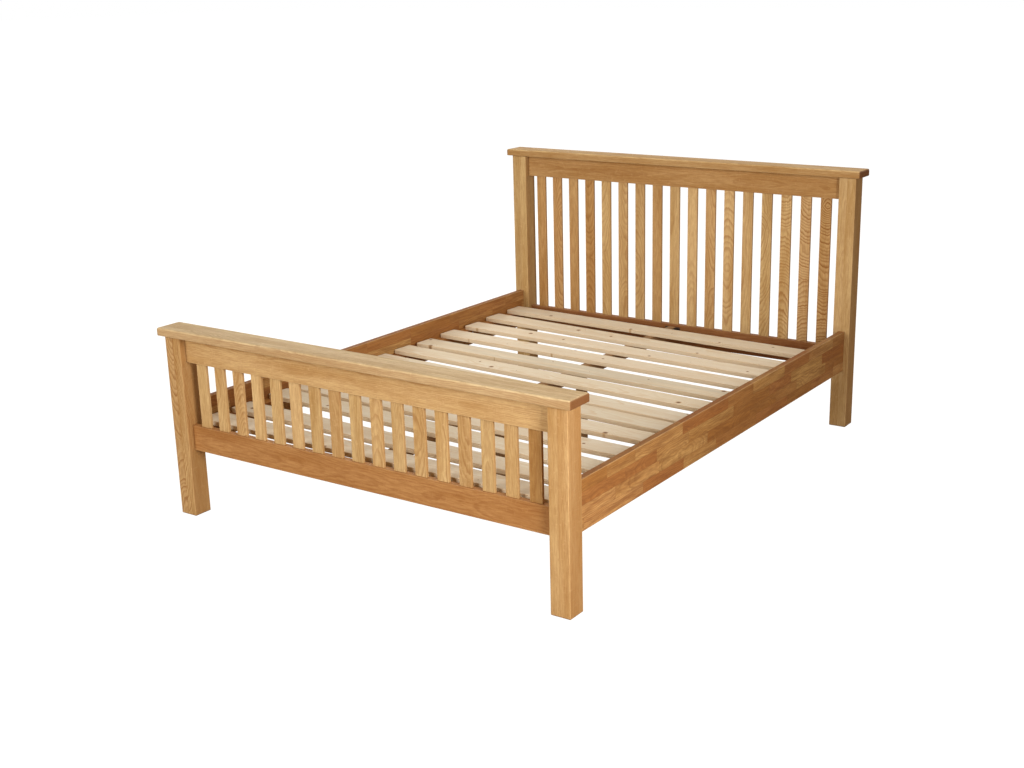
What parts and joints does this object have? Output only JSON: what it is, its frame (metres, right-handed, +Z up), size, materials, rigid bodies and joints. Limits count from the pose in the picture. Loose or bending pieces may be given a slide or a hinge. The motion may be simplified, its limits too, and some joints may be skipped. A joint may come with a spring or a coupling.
{
  "type": "slatted bed frame",
  "caption": "Oak double bed frame with a tall slatted headboard, a low slatted footboard, flat caps, deep side rails and loose pine bed slats.",
  "frame": {"origin": "on the floor at the middle of the bed's outline seen from above, midway between the legs both ways", "axes": "+X to the right for someone at the foot looking to the headboard, +Y along the bed to the headboard, +Z up"},
  "size_m": [1.67, 2.172, 1.046],
  "materials": {
    "oak": "clear satin lacquer on golden solid oak",
    "laminated_oak": "clear satin lacquer on finger-jointed oak staves",
    "pine": "planed and left bare",
    "beech": "plain turned",
    "zinc_plated_steel": "bright zinc plate",
    "black_steel": "satin black paint"
  },
  "bodies": {
    "root": {"bed_slat_01": "pine", "bed_slat_02": "pine", "bed_slat_03": "pine", "bed_slat_04": "pine", "bed_slat_05": "pine", "bed_slat_06": "pine", "bed_slat_07": "pine", "bed_slat_08": "pine", "bed_slat_09": "pine", "bed_slat_10": "pine", "bed_slat_11": "pine", "bed_slat_12": "pine", "bed_slat_13": "pine", "cap_dowels": "beech", "centre_rail": "pine", "foot_cap": "oak", "foot_hanger": "black_steel", "foot_lower_rail": "oak", "foot_post_left": "oak", "foot_post_right": "oak", "foot_upper_rail": "oak", "foot_uprights": "oak", "hanger_screws": "black_steel", "head_cap": "oak", "head_hanger": "black_steel", "head_lower_rail": "oak", "head_post_left": "oak", "head_post_right": "oak", "head_upper_rail": "oak", "head_upright_01": "oak", "head_upright_02": "oak", "head_upright_03": "oak", "head_upright_04": "oak", "head_upright_05": "oak", "head_upright_06": "oak", "head_upright_07": "oak", "head_upright_08": "oak", "head_upright_09": "oak", "head_upright_10": "oak", "head_upright_11": "oak", "head_upright_12": "oak", "head_upright_13": "oak", "head_upright_14": "oak", "head_upright_15": "oak", "head_upright_16": "oak", "head_upright_17": "oak", "ledge_left": "oak", "ledge_right": "oak", "ledge_screws": "zinc_plated_steel", "moon_washers": "zinc_plated_steel", "rail_dowels": "beech", "rail_studs": "zinc_plated_steel", "side_rail_left": "laminated_oak", "side_rail_right": "laminated_oak", "stud_nuts": "zinc_plated_steel", "support_leg_foot": "pine", "support_leg_head": "pine", "support_studs": "zinc_plated_steel"}
  },
  "joints": []
}
